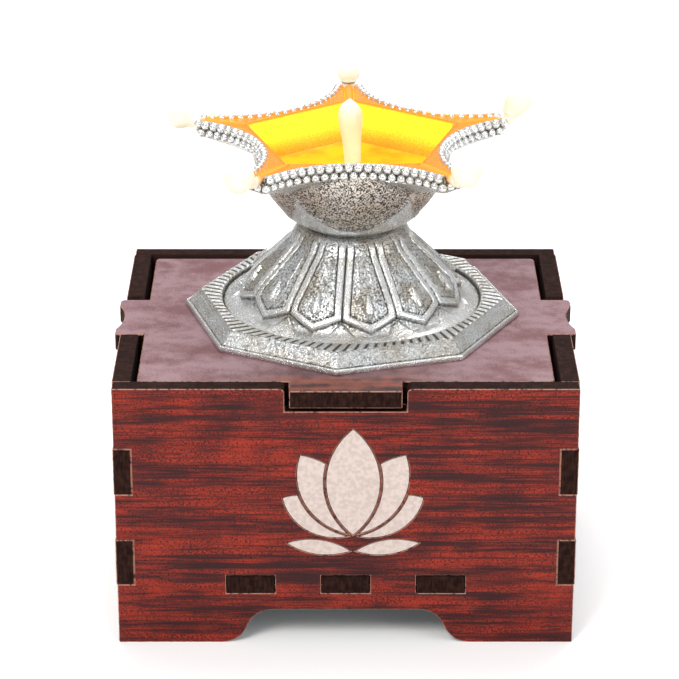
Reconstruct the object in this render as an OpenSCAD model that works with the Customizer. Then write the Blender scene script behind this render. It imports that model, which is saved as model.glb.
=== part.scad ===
// Five-wick star oil lamp of cast metal on a finger-jointed board box with a drop-in lid.
// Millimetres. Origin: centre of the box's footprint, on the surface it stands on.
// X runs across the front, Y to the back, Z up.

/* [Box] */
// Width of the box across the front
box_w = 100; // [90:1:120]
// Depth of the box from front to back
box_d = 84; // [80:1:110]
// Height of the box
box_h = 61; // [55:1:80]
// Thickness of every board
board = 4; // [3:0.5:4]
// How far the side boards stand proud of the front board's ends
side_proud = 0.2; // [0:0.1:0.4]
// Radius of the small rounded corners on the boards
corner_r = 1; // [0.5:0.1:1.5]

/* [Box joints] */
// Height of each finger of the side boards
finger_h = 10.9; // [8:0.1:12]
// Height of the lower finger's underside
finger_z = 14.2; // [10:0.1:18]
// Distance from one finger to the next
finger_pitch = 21.8; // [18:0.1:24]
// Height of the floor board's underside
floor_z = 12.3; // [10:0.1:14]
// Width of each tab of the floor board
floor_tab_w = 10.4; // [8:0.1:12]
// Distance from one floor tab to the next
floor_tab_pitch = 20.8; // [18:0.1:24]
// Clearance round a floor tab in its slot
slot_gap = 0.2; // [0.1:0.05:0.3]

/* [Feet] */
// Half width of the opening between two feet, on the ground
arch_half_w = 27.4; // [22:0.1:32]
// Height of the opening between two feet
arch_h = 8.1; // [5:0.1:10]
// Width of each S-curved side of the opening
arch_side_w = 11.4; // [9:0.1:14]

/* [Lid] */
// Gap between the lid and the side boards
lid_gap = 1.3; // [0.8:0.1:2]
// How far the lid's top lies below the rim of the box
lid_drop = 0.5; // [0:0.1:1]
// Width of the notches in the front and back boards
front_notch_w = 26.3; // [20:0.1:30]
// Depth of the notches in the front and back boards
front_notch_d = 5.3; // [4.8:0.1:7]
// Width of the lid's front and back tabs
front_tab_w = 24.2; // [18:0.1:28]
// Length of the lid's finger tabs at the sides
side_tab_l = 20.8; // [16:0.1:26]
// Gap at each end of a side tab in its notch
side_tab_gap = 0.5; // [0.3:0.1:0.8]
// Length of each horn at the ends of a side tab
horn_l = 3.6; // [2.5:0.1:5]
// How far the side tabs' horns stand out of the box
horn_out = 1.3; // [0.5:0.1:3]
// Depth of the finger scallop between the horns
scallop_d = 1.5; // [0.8:0.1:2]

/* [Lamp foot] */
// Place of the lamp's axis across the lid
lamp_x = 1.4; // [-4:0.1:4]
// Place of the lamp's axis along the lid
lamp_y = 4; // [-2:0.1:6]
// Radius of the octagonal plinth at its corners
plinth_r = 38; // [34:0.1:38]
// Turn of the octagon about the lamp's axis
plinth_turn = -5.4; // [-22:0.1:22]
// Height of the plinth's upright edge
plinth_edge_h = 1.2; // [0.8:0.1:2]
// Height of the plinth at the top of its sloping facets
plinth_h = 4.2; // [3.5:0.1:5]
// Height of the foot, up to the bowl
neck_z = 20; // [18:0.1:24]
// Radius of the neck
neck_r = 11; // [10:0.1:12]
// Radius of the lotus skirt where its petals end
skirt_r = 25.5; // [24:0.1:27]
// Wall thickness of the hollow foot
wall = 2; // [1.8:0.1:2.4]

/* [Lamp bowl] */
// Number of spouts
spouts = 5; // [5]
// Turn of the star about the lamp's axis
star_turn = 1; // [-10:0.1:10]
// Distance from the lamp's axis to the end of each spout
star_r = 36.2; // [35:0.1:38]
// Distance from the lamp's axis to the middle of each side of the star
side_r = 22.4; // [22:0.1:24]
// Height of the rim above the lid
rim_z = 42.8; // [41:0.1:44]
// Height of the beaded edge below the rim
rim_h = 3.6; // [3:0.1:4]
// Half width of a spout at its end
spout_half_w = 3.2; // [3:0.1:3.6]
// Radius of the round bowl
bowl_r = 22.2; // [20:0.1:22.3]
// Height of the basin's floor above the lid
basin_z = 26.2; // [26:0.1:27]
// Radius of the five-sided basin at its floor
basin_floor_r = 13.4; // [12:0.1:13.5]
// Radius of the basin at its upper edge
basin_top_r = 24.2; // [22:0.1:24.5]
// How far the ledge round the basin lies below the rim
ledge_drop = 0.6; // [0.4:0.1:1]
// Height of the ghee in the basin above the lid
ghee_z = 34.5; // [30:0.1:37]
// Height of the wick's groove in each spout above the lid
channel_z = 40; // [39:0.1:40.2]

/* [Wicks] */
// Radius of a wick where it lies in its spout
tail_r = 1.1; // [0.8:0.1:1.2]
// Where a wick starts, measured from the lamp's axis
tail_start = 24; // [23:0.1:28]
// Radius of the centre wick
centre_wick_r = 1.7; // [1:0.1:2]
// Height of the centre wick's top above the lid
centre_wick_z = 50.5; // [44:0.5:52]
// Radius of the centre wick's thick top
centre_head_r = 2.6; // [2:0.1:2.8]

/* [Screw] */
// Radius of the screw that holds the bowl to the foot
screw_r = 2; // [1.5:0.5:2]
// Radius of the screw's head
screw_head_r = 3.8; // [3:0.1:4]
// Height of the screw's head
screw_head_h = 2.4; // [2:0.1:3]
// Thickness of the washer
washer_t = 0.8; // [0.5:0.1:1]

/* [Front motif] */
// Height of the flower's base above the ground
motif_z = 26.5; // [24:0.5:28]
// Place of the motif across the front
motif_x = 1.6; // [-5:0.1:5]
// Length of the flower's middle petal
petal_l = 25; // [18:0.5:26]
// Width of the line left between two petals
petal_gap = 0.8; // [0.6:0.1:1.2]
// Thickness of the inlay
inlay_t = 1; // [0.5:0.1:1.5]
// Width of the cut line round the inlay
inlay_gap = 0.15; // [0.1:0.05:0.3]

/* [Hidden] */

cut = 0.5;                        // how far a cutting shape runs past a face
arc_steps = 8;                    // straight pieces in one quarter of an S-curve
inner_x = box_w / 2 + side_proud - board;      // inner faces of the side boards
inner_y = box_d / 2 - board;      // inner faces of the front and back boards
lid_top = box_h - lid_drop;
lid_z = lid_top - board;          // height of the lid's underside
side_notch_d = box_h - lid_z;     // depth of the notches that the lid rests in
side_notch_l = side_tab_l + 2 * side_tab_gap;
lid_half_x = inner_x - lid_gap;
lid_half_y = inner_y - lid_gap;
horn_x = box_w / 2 + side_proud + horn_out;
fingers = [finger_z, finger_z + finger_pitch];

spout_step = 360 / spouts;
spout_angles = [18, 90, 162, 234, 306];        // right rear, rear, left rear, left front, right front
corner_x = star_r * sin(spout_step / 2) - spout_half_w * cos(spout_step / 2);
corner_y = star_r * cos(spout_step / 2) + spout_half_w * sin(spout_step / 2);
// centre and radius of the arc that forms one side of the star, through both spout corners
side_c = (corner_x * corner_x + corner_y * corner_y - side_r * side_r) / (2 * (corner_y - side_r));
side_arc_r = side_c - side_r;
bowl_centre = rim_z - 1.6;        // height of the centre of the bowl's sphere
ledge_z = rim_z - ledge_drop;
basin_slope = (basin_top_r - basin_floor_r) / (ledge_z - basin_z);
rim_band = 2.4;                   // width of the beaded edge
screw_web = 2.5;                  // thickness of the foot's web under the bowl
screw_top = basin_z - 1.4;
bore_gap = 0.15;                  // clearance of the screw in the web

// Wicks, in the order of spout_angles: length, upward tilt and radius of the end outside the spout
wick_reach = [5.4, 3.2, 4, 5.8, 4.6];
wick_tilt = [54, 72, 16, 26, 42];
head_r = [2.9, 2.6, 2.7, 3.2, 3.2];
wick_gap = 0.3;                   // clearance of a wick in its groove
groove_start = 20;                // where the groove starts, inside the basin
wick_z = channel_z + wick_gap + tail_r;
bend_r = tail_r + 0.15;           // radius of a wick at its bend
bend_x = star_r + 0.6;            // distance of the bend from the lamp's axis

// Motif: width of a petal as a share of its length, and the two leaves under the flower
petal_share = 0.46;
leaf_l = 13.5;
leaf_w = 3.3;
leaf_drop = 4;                    // how far the leaves' points lie below the flower's base
leaf_lean = 82;

module turn_to(k) { rotate([0, 0, star_turn + spout_angles[k]]) children(); }
module on_lid() { translate([lamp_x, lamp_y, lid_top]) children(); }

// ---- box ----

// Points along an arc
function arc_pts(c, r, from, to) =
    [for (i = [0:arc_steps]) let (a = from + (to - from) * i / arc_steps)
        [c[0] + r * cos(a), c[1] + r * sin(a)]];

// S-curved opening between two feet, seen from the front
module arch() {
    r = (arch_side_w * arch_side_w + arch_h * arch_h) / (4 * arch_h);
    bend = 2 * atan(arch_h / arch_side_w);     // how far each half of the S turns
    top_x = arch_half_w - arch_side_w;
    half = concat([[0, -cut], [arch_half_w, -cut], [arch_half_w, 0]],
                  arc_pts([arch_half_w, r], r, 270, 270 - bend),
                  arc_pts([top_x, arch_h - r], r, 90 - bend, 90),
                  [[0, arch_h]]);
    for (m = [0, 1]) mirror([m, 0]) polygon(half);
}

// Board outline seen flat, with its lower edge on the ground
module board_outline(w) {
    difference() {
        translate([-w / 2, 0]) square([w, box_h]);
        arch();
    }
}

// Notch in an upper edge, whose mouth has rounded corners
module top_notch(w, d) {
    translate([-w / 2, box_h - d]) square([w, d + cut]);
    for (m = [0, 1]) mirror([m, 0]) difference() {
        translate([w / 2, box_h - corner_r]) square([corner_r, corner_r + cut]);
        translate([w / 2 + corner_r, box_h - corner_r]) circle(corner_r, $fn = 32);
    }
}

module floor_slots(count) {
    for (i = [0:count - 1])
        translate([(i - (count - 1) / 2) * floor_tab_pitch - floor_tab_w / 2 - slot_gap,
                   floor_z - slot_gap])
            square([floor_tab_w + 2 * slot_gap, board + 2 * slot_gap]);
}

module front_outline() {
    difference() {
        board_outline(box_w);
        top_notch(front_notch_w, front_notch_d);
        floor_slots(3);
        for (m = [0, 1]) mirror([m, 0]) for (z = fingers)
            translate([inner_x, z]) square([board, finger_h]);
    }
}

module side_outline() {
    difference() {
        board_outline(box_d);
        top_notch(side_notch_l, side_notch_d);
        floor_slots(2);
        for (m = [0, 1]) mirror([m, 0]) {
            translate([inner_y, -cut]) square([board + cut, fingers[0] + cut]);
            translate([inner_y, fingers[0] + finger_h])
                square([board + cut, finger_pitch - finger_h]);
            translate([inner_y, fingers[1] + finger_h])
                square([board + cut, box_h - fingers[1] - finger_h + cut]);
        }
    }
}

module upright_x() { rotate([90, 0, 0]) linear_extrude(board) children(); }
module upright_y() { rotate([90, 0, 90]) linear_extrude(board) children(); }

module front_panel() {
    color("brown") difference() {
        translate([0, -inner_y, 0]) upright_x() front_outline();
        translate([0, -box_d / 2 + inlay_t, 0]) rotate([90, 0, 0])
            linear_extrude(inlay_t + cut) motif(inlay_gap);
    }
}
module back_panel() { color("brown") translate([0, box_d / 2, 0]) upright_x() front_outline(); }
module left_panel() { color("brown") translate([-inner_x - board, 0, 0]) upright_y() side_outline(); }
module right_panel() { color("brown") translate([inner_x, 0, 0]) upright_y() side_outline(); }

module floor_panel() {
    color("saddlebrown") translate([0, 0, floor_z]) linear_extrude(board) {
        square([2 * inner_x, 2 * inner_y], center = true);
        for (i = [-1:1]) translate([i * floor_tab_pitch, 0])
            square([floor_tab_w, box_d], center = true);
        for (i = [-0.5, 0.5]) translate([0, i * floor_tab_pitch])
            square([2 * (inner_x + board), floor_tab_w], center = true);
    }
}

// Pointed petal of two arcs, standing on the origin
module petal(l, w, grow) {
    r = (l * l + w * w) / (4 * w);
    intersection() {
        translate([r - w / 2, l / 2]) circle(r + grow, $fn = 96);
        translate([w / 2 - r, l / 2]) circle(r + grow, $fn = 96);
    }
}

// Petals of the flower's row i on both sides: 0 is the middle petal, 2 the outermost
module petal_row(i, grow) {
    spread = [0, 31, 60];                      // lean of the row's petals
    size = [1, 0.88, 0.7];                     // their length, in middle petals
    for (m = [0, 1]) mirror([m, 0]) rotate(-spread[i])
        petal(petal_l * size[i], petal_l * size[i] * petal_share, grow);
}

// Plain lotus flower: three rows of petals, each behind the one before it, over two leaves
module motif(grow) {
    translate([motif_x, motif_z]) {
        petal_row(0, grow);
        difference() {
            petal_row(1, grow);
            petal_row(0, petal_gap - grow);
        }
        difference() {
            petal_row(2, grow);
            for (i = [0, 1]) petal_row(i, petal_gap - grow);
        }
        for (m = [0, 1]) mirror([m, 0]) translate([petal_gap, -leaf_drop]) rotate(-leaf_lean)
            petal(leaf_l, leaf_w, grow);
    }
}

module front_inlay() {
    color("wheat") translate([0, -box_d / 2 + inlay_t, 0]) rotate([90, 0, 0])
        linear_extrude(inlay_t) motif(0);
}

// ---- lid ----

module rounded(w, d) {
    square([w - 2 * corner_r, d], center = true);
    square([w, d - 2 * corner_r], center = true);
    for (x = [-1, 1], y = [-1, 1])
        translate([x * (w / 2 - corner_r), y * (d / 2 - corner_r)]) circle(corner_r, $fn = 32);
}

module side_tab() {
    scallop_half = side_tab_l / 2 - horn_l;    // half length of the scallop, between two horns
    r = (scallop_half * scallop_half + scallop_d * scallop_d) / (2 * scallop_d);
    difference() {
        union() {
            translate([0, -side_tab_l / 2]) square([horn_x - corner_r, side_tab_l]);
            translate([0, corner_r - side_tab_l / 2])
                square([horn_x, side_tab_l - 2 * corner_r]);
            for (s = [-1, 1]) translate([horn_x - corner_r, s * (side_tab_l / 2 - corner_r)])
                circle(corner_r, $fn = 32);
        }
        translate([horn_x - scallop_d + r, 0]) circle(r, $fn = 96);
    }
}

module lid_panel() {
    color("indianred") translate([0, 0, lid_z]) linear_extrude(board) {
        rounded(2 * lid_half_x, 2 * lid_half_y);
        square([front_tab_w, box_d], center = true);
        for (m = [0, 1]) mirror([m, 0]) side_tab();
    }
}

// ---- lamp ----

band_r = skirt_r + 6.3;           // outer radius of the turned part of the foot
plinth_top_r = skirt_r + 9;       // radius of the octagon at the top of its facets
plinth_lip = 0.4;                 // width of the step above the upright edge

// Radius and height of the foot's outer skin from the neck down to the groove inside the plinth
foot_skin = [[neck_r, neck_z], [neck_r + 1, neck_z - 1.6], [neck_r + 4.3, neck_z - 3.8],
             [neck_r + 7.5, neck_z - 6.8], [neck_r + 11, neck_z - 10.2], [skirt_r, plinth_h + 0.4],
             [skirt_r + 3.1, plinth_h - 1], [skirt_r + 3.7, plinth_h - 1],
             [skirt_r + 4.6, plinth_h], [band_r, plinth_h]];
foot_in = [[0, -cut], [skirt_r + 3, -cut], [skirt_r + 3, 1], [skirt_r - wall, plinth_h - 1.5],
           [neck_r + 9, neck_z - 12.8], [neck_r + 5.5, neck_z - 9.4], [neck_r + 2.3, neck_z - 6.4],
           [neck_r - wall, neck_z - screw_web - 1.5], [neck_r - wall, neck_z - screw_web],
           [0, neck_z - screw_web]];

module lamp_foot() {
    color("silver") on_lid() difference() {
        union() {
            rotate([0, 0, plinth_turn]) difference() {     // octagonal ring of the plinth
                union() {
                    cylinder(h = plinth_edge_h, r = plinth_r, $fn = 8);
                    translate([0, 0, plinth_edge_h])
                        cylinder(h = plinth_h - plinth_edge_h, r1 = plinth_r - plinth_lip,
                                 r2 = plinth_top_r, $fn = 8);
                }
                translate([0, 0, -cut]) cylinder(h = plinth_h + 2 * cut, r = band_r - 1, $fn = 96);
            }
            rotate_extrude($fn = 96)
                polygon(concat([[0, 0]], [[0, neck_z]], foot_skin, [[band_r, 0]]));
        }
        rotate_extrude($fn = 96) polygon(foot_in);
        translate([0, 0, neck_z - screw_web - cut])
            cylinder(h = screw_web + 2 * cut, r = screw_r + bore_gap, $fn = 48);
    }
}

// Outline of the star, moved in towards the axis: a pentagon with a round bay in each corner
module star(in) {
    rotate(star_turn + spout_angles[0] + spout_step / 2) difference() {
        circle((star_r - in) / cos(spout_step / 2), $fn = spouts);
        for (k = [0:spouts - 1]) rotate(k * spout_step)
            translate([side_c, 0]) circle(side_arc_r + in, $fn = 96);
    }
}

// Underside of one spout: a wedge from the bowl's flank to the spout's end, let into the rim
wedge = [[15, 1 - rim_h], [15, -13], [17.5, -11.6], [24, -7.4], [30, -5.1],
         [star_r - 0.6, -rim_h - 0.6], [star_r - 0.6, 1 - rim_h]];     // heights from the rim

module spout_wedge() {
    translate([0, 0, rim_z]) rotate([90, 0, 0])
        linear_extrude(2 * spout_half_w, center = true) polygon(wedge);
}

// Five-sided basin with a corner towards each spout, filled from its floor up to the height z
module basin(z) {
    rotate([0, 0, star_turn + spout_angles[0]]) translate([0, 0, basin_z])
        cylinder(h = z - basin_z, r1 = basin_floor_r,
                 r2 = basin_floor_r + basin_slope * (z - basin_z), $fn = spouts);
}

module star_bowl() {
    color("silver") on_lid() difference() {
        union() {
            intersection() {
                translate([0, 0, bowl_centre]) sphere(bowl_r, $fn = 96);
                translate([0, 0, neck_z]) cylinder(h = rim_z - neck_z, r = bowl_r + 1, $fn = 96);
            }
            translate([0, 0, neck_z]) cylinder(h = 2.6, r = neck_r + 0.6, $fn = 96);
            translate([0, 0, rim_z - rim_h]) linear_extrude(rim_h) star(0);
            for (k = [0:spouts - 1]) turn_to(k) spout_wedge();
        }
        basin(ledge_z + cut);
        translate([0, 0, ledge_z]) linear_extrude(rim_h) star(rim_band);
        for (k = [0:spouts - 1]) turn_to(k)        // groove for the wick, open at the spout's end
            translate([groove_start, -bend_r - wick_gap, channel_z])
                cube([star_r - groove_start + cut, 2 * (bend_r + wick_gap), rim_h]);
        translate([0, 0, neck_z - cut])
            cylinder(h = screw_top + 0.3 - neck_z + cut, r = screw_r, $fn = 48);
    }
}

module bowl_screw() {
    under_head = neck_z - screw_web - washer_t;
    color("gray") on_lid() difference() {
        union() {
            translate([0, 0, under_head]) cylinder(h = screw_top - under_head, r = screw_r, $fn = 48);
            translate([0, 0, under_head - screw_head_h])
                cylinder(h = screw_head_h, r = screw_head_r, $fn = 48);
        }
        for (a = [0, 90]) rotate([0, 0, a])
            translate([-2.2, -0.4, under_head - screw_head_h - cut]) cube([4.4, 0.8, 1.2 + cut]);
    }
}

module screw_washer() {
    color("lightgray") on_lid() translate([0, 0, neck_z - screw_web - washer_t])
        difference() {
            cylinder(h = washer_t, r = screw_head_r + 0.8, $fn = 48);
            translate([0, 0, -cut]) cylinder(h = washer_t + 2 * cut, r = screw_r + bore_gap, $fn = 48);
        }
}

module ghee_fill() {
    color("gold") on_lid() difference() {
        basin(ghee_z);
        translate([0, 0, basin_z - cut])
            cylinder(h = ghee_z, r = centre_wick_r + bore_gap, $fn = 48);
    }
}

// Drop-shaped end of a wick: two balls of radius r1 and r2, length apart, and the cone between
module wick_end(r1, r2, length) {
    a = asin((r1 - r2) / length);
    rotate_extrude($fn = 48)
        polygon(concat(arc_pts([0, 0], r1, -90, a), arc_pts([0, length], r2, a, 90)));
}

// Wick k: a straight tail in the spout and a thicker end that stands out of it
module wick(k) {
    color("white") on_lid() turn_to(k) translate([0, 0, wick_z]) {
        translate([tail_start, 0, 0]) rotate([0, 90, 0])
            cylinder(h = bend_x - tail_start, r = tail_r, $fn = 32);
        translate([bend_x, 0, 0]) rotate([0, 90 - wick_tilt[k], 0])
            wick_end(bend_r, head_r[k], wick_reach[k]);
    }
}

module wick_right_rear() { wick(0); }
module wick_rear() { wick(1); }
module wick_left_rear() { wick(2); }
module wick_left_front() { wick(3); }
module wick_right_front() { wick(4); }

module wick_centre() {
    stem_h = centre_wick_z - basin_z - 2 * centre_head_r;
    color("white") on_lid() translate([0, 0, basin_z]) {
        cylinder(h = stem_h, r = centre_wick_r, $fn = 32);
        translate([0, 0, stem_h - 4])
            wick_end(centre_wick_r - 0.2, centre_head_r, 4 + centre_head_r);
    }
}

front_panel();
back_panel();
left_panel();
right_panel();
floor_panel();
front_inlay();
lid_panel();
lamp_foot();
star_bowl();
bowl_screw();
screw_washer();
ghee_fill();
wick_right_rear();
wick_rear();
wick_left_rear();
wick_left_front();
wick_right_front();
wick_centre();
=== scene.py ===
# Five-wick star oil lamp on its board box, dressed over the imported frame.
import math
import random

import bpy
import numpy as np
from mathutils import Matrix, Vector


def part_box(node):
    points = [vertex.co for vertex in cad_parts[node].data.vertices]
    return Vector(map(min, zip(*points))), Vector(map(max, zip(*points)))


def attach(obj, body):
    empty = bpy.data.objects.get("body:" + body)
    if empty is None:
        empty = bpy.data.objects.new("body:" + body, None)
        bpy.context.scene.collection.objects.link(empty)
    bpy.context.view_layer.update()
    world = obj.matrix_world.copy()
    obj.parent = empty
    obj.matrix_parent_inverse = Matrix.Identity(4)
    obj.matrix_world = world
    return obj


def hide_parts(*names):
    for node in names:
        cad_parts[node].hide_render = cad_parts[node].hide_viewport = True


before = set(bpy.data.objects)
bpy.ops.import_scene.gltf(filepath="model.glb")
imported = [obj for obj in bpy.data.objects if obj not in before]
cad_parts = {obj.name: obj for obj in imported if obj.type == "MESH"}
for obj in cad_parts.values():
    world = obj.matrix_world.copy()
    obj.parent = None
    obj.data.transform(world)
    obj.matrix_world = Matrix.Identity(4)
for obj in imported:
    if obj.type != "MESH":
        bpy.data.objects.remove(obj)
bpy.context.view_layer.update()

mm = 0.001

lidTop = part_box("lid_panel")[1].z          # the lamp stands on this height
footLow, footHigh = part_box("lamp_foot")
lampAxis = Vector(((footLow.x + footHigh.x) / 2, (footLow.y + footHigh.y) / 2, lidTop))


# ---- shader helpers ----

class Value:
    # a node output that sums and products can be written on
    def __init__(self, paint, socket):
        self.paint = paint
        self.socket = socket

    def calc(self, operation, *others):
        return self.paint.node("ShaderNodeMath", {"operation": operation},
                               dict(enumerate((self,) + others)))

    def __add__(self, other):
        return self.calc("ADD", other)

    def __sub__(self, other):
        return self.calc("SUBTRACT", other)

    def __rsub__(self, other):
        return self.paint.node("ShaderNodeMath", {"operation": "SUBTRACT"}, {0: other, 1: self})

    def __mul__(self, other):
        return self.calc("MULTIPLY", other)

    def __truediv__(self, other):
        return self.calc("DIVIDE", other)

    __radd__ = __add__
    __rmul__ = __mul__

    def ramp(self, low, high):              # smooth step from 0 at low to 1 at high
        return self.paint.node("ShaderNodeMapRange", {"interpolation_type": "SMOOTHSTEP"},
                               {0: self, 1: low, 2: high})


class Nodes:
    # a node tree that nodes are added to by type, settings and inputs
    def __init__(self, tree):
        self.tree = tree

    def node(self, kind, settings, inputs, output=0):
        made = self.tree.nodes.new(kind)
        for key, value in settings.items():
            setattr(made, key, value)
        for key, value in inputs.items():
            if isinstance(value, Value):
                self.tree.links.new(value.socket, made.inputs[key])
            else:
                made.inputs[key].default_value = value
        return Value(self, made.outputs[output])

    def place(self, scale=(1, 1, 1), offset=(0, 0, 0)):
        here = self.node("ShaderNodeTexCoord", {}, {}, "Object")
        return self.node("ShaderNodeMapping", {}, {"Vector": here, "Scale": scale,
                                                   "Location": offset})

    def noise(self, scale, detail=3.0, offset=(0, 0, 0)):
        return self.node("ShaderNodeTexNoise", {}, {"Vector": self.place(scale, offset),
                                                    "Scale": 1.0, "Detail": detail})

    def attribute(self, name):
        return self.node("ShaderNodeAttribute", {"attribute_name": name}, {}, "Fac")

    def mix(self, factor, first, second):   # colours
        return self.node("ShaderNodeMix", {"data_type": "RGBA"},
                         {0: factor, 6: first, 7: second}, 2)


class Paint(Nodes):
    # a material with one Principled shader; constants go straight on its sockets
    def __init__(self, name, **constants):
        self.material = bpy.data.materials.new(name)
        self.material.use_nodes = True
        super().__init__(self.material.node_tree)
        self.shader = self.tree.nodes["Principled BSDF"]
        for socket, value in constants.items():
            self.shader.inputs[socket.replace("_", " ")].default_value = value

    def bump(self, height, depth, strength=1.0):
        return self.node("ShaderNodeBump", {}, {"Height": height, "Distance": depth,
                                                "Strength": strength})

    def give(self, **links):
        for socket, value in links.items():
            self.tree.links.new(value.socket, self.shader.inputs[socket.replace("_", " ")])
        return self.material


def solid(red, green, blue):
    return (red, green, blue, 1.0)


# ---- mesh helpers ----

def deselectAll():
    if bpy.context.object and bpy.context.object.mode != "OBJECT":
        bpy.ops.object.mode_set(mode="OBJECT")
    bpy.ops.object.select_all(action="DESELECT")


def activate(piece):
    deselectAll()
    piece.select_set(True)
    bpy.context.view_layer.objects.active = piece


def copyNode(node, name):                   # a loose copy of a CAD node's mesh, merged and cleaned
    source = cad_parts[node]
    piece = bpy.data.objects.new(name, source.data.copy())
    bpy.context.collection.objects.link(piece)
    piece.data.materials.clear()
    activate(piece)
    bpy.ops.object.mode_set(mode="EDIT")
    bpy.ops.mesh.select_all(action="SELECT")
    bpy.ops.mesh.remove_doubles(threshold=0.002 * mm)
    bpy.ops.mesh.dissolve_limited(angle_limit=math.radians(0.5))
    bpy.ops.object.mode_set(mode="OBJECT")
    return piece


# ---- box boards ----

boards = {
    "grainLength": 27 * mm,       # length of a dark streak
    "grainWidth": 1.15 * mm,
    "speckle": 0.5 * mm,          # size of the printed grain's specks
    "chamfer": 0.2 * mm,          # pale line where the laminate is cut
    "red": solid(0.066, 0.0085, 0.0075),
    "ember": solid(0.33, 0.027, 0.011),
    "dark": solid(0.015, 0.0062, 0.0075),
    # painted sheen of the lid's gloss, in a pale and a dark tone
    "sheenMauve": solid(0.275, 0.165, 0.18),
    "sheenMauveDark": solid(0.15, 0.058, 0.064),
    "char": solid(0.009, 0.0024, 0.0016),
    "charLight": solid(0.032, 0.012, 0.008),
    "pale": solid(0.36, 0.165, 0.115),
    "inside": solid(0.014, 0.004, 0.003),
    "insideLight": solid(0.040, 0.008, 0.005),
    "front": solid(0.25, 0.060, 0.026),     # lid in front of the lamp, where no painted sheen hides the print
    "frontEdge": -39 * mm,        # that part starts here along Y, and fades over the depth
    "frontDepth": 13 * mm,
    "frontHalf": (9 * mm, 24 * mm),         # and across X it fades between these
    "smudge": (70, 125, 70),      # scale and turn of the painted sheen's smudges
    "smudgeTurn": -24,
}


def laminatePaint(name, along, across, offset):
    paint = Paint(name, IOR=1.28)
    wide = [1 / boards["grainWidth"]] * 3
    wide[along] = 1 / boards["grainLength"]
    fine = [2.6 / boards["grainWidth"]] * 3
    fine[along] = 2.8 / boards["grainLength"]
    broad = [0.3 / boards["grainWidth"]] * 3
    broad[along] = 0.5 / boards["grainLength"]
    streaks = paint.noise(wide, 3.0, offset)
    hairs = paint.noise(fine, 3.0, offset)
    bands = paint.noise(broad, 2.0, offset)
    specks = paint.noise([1 / boards["speckle"]] * 3, 2.0)
    cloud = paint.noise([1 / (9 * mm)] * 3, 2.0, offset)
    mask = (streaks * 0.40 + hairs * 0.34 + bands * 0.26 + (specks - 0.5) * 0.46).ramp(0.455, 0.575)
    base = paint.mix((specks * 1.0 + cloud * 0.35 - 0.17).ramp(0.36, 0.64), boards["red"], boards["ember"])
    color = paint.mix(mask * (0.60 + specks * 0.55), base, boards["dark"])
    return paint.give(Base_Color=color, Roughness=0.40 + specks * 0.12,
                      Normal=paint.bump(specks + streaks, 0.015 * mm, 0.5))


def lidPaint(name, offset):                 # the same print, under a painted sheen where the lid's gloss catches the light
    paint = Paint(name, IOR=1.45)
    wide = (1 / (24 * mm), 1 / (2.6 * mm), 1 / (2.6 * mm))
    turned = paint.node("ShaderNodeMapping", {}, {
        "Vector": paint.place(), "Scale": boards["smudge"],
        "Rotation": (0, 0, math.radians(boards["smudgeTurn"]))})
    smudge = paint.node("ShaderNodeTexNoise", {}, {"Vector": turned, "Scale": 1.0, "Detail": 3.0})
    streaks = paint.noise(wide, 3.0, offset)
    specks = paint.noise([1 / boards["speckle"]] * 3, 2.0)
    blot = paint.noise([1 / (3 * mm)] * 3, 3.0, offset)
    here = paint.node("ShaderNodeTexCoord", {}, {}, "Object")
    across = paint.node("ShaderNodeSeparateXYZ", {}, {0: here}, "X")
    depth = paint.node("ShaderNodeSeparateXYZ", {}, {0: here}, "Y")
    near = 1 - (depth - boards["frontEdge"]).ramp(0, boards["frontDepth"])
    front = near * (1 - across.calc("ABSOLUTE").ramp(*boards["frontHalf"]))
    # painted sheen: clouds between its pale and dark tone, over the print except in front
    sheenClouds = (smudge * 0.6 + blot * 0.4 + (specks - 0.5) * 0.30).ramp(0.37, 0.66)
    sheen = paint.mix(sheenClouds, boards["sheenMauve"], boards["sheenMauveDark"])
    under = paint.mix((streaks * 0.7 + blot * 0.3).ramp(0.38, 0.58), boards["front"], boards["dark"])
    color = paint.mix(front * 0.86, sheen, under)
    return paint.give(Base_Color=color, Roughness=0.33 + specks * 0.12 + sheenClouds * 0.06,
                      Normal=paint.bump(specks + streaks, 0.012 * mm, 0.5))


def cutPaint():                             # laser-cut edge of the board
    paint = Paint("cutEdge", IOR=1.16)
    lines = paint.noise((1 / (0.5 * mm), 1 / (0.5 * mm), 1 / (3 * mm)), 3.0)
    spots = paint.noise([1 / (1.4 * mm)] * 3, 3.0)
    color = paint.mix((lines * 0.5 + spots * 0.5).ramp(0.38, 0.66), boards["char"], boards["charLight"])
    return paint.give(Base_Color=color, Roughness=0.5 + lines * 0.3,
                      Normal=paint.bump(lines, 0.05 * mm))


def palePaint():
    paint = Paint("laminateEdge", Roughness=0.6)
    spots = paint.noise([1 / (0.8 * mm)] * 3, 2.0)
    return paint.give(Base_Color=paint.mix(spots.ramp(0.32, 0.52), boards["red"], boards["pale"]))


def insidePaint():
    paint = Paint("boardInside", Roughness=0.55)
    spots = paint.noise((1 / (3 * mm), 1 / (3 * mm), 1 / (1 * mm)), 3.0)
    return paint.give(Base_Color=paint.mix(spots, boards["inside"], boards["insideLight"]))


cutEdge = cutPaint()
paleEdge = palePaint()
inside = insidePaint()


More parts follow.
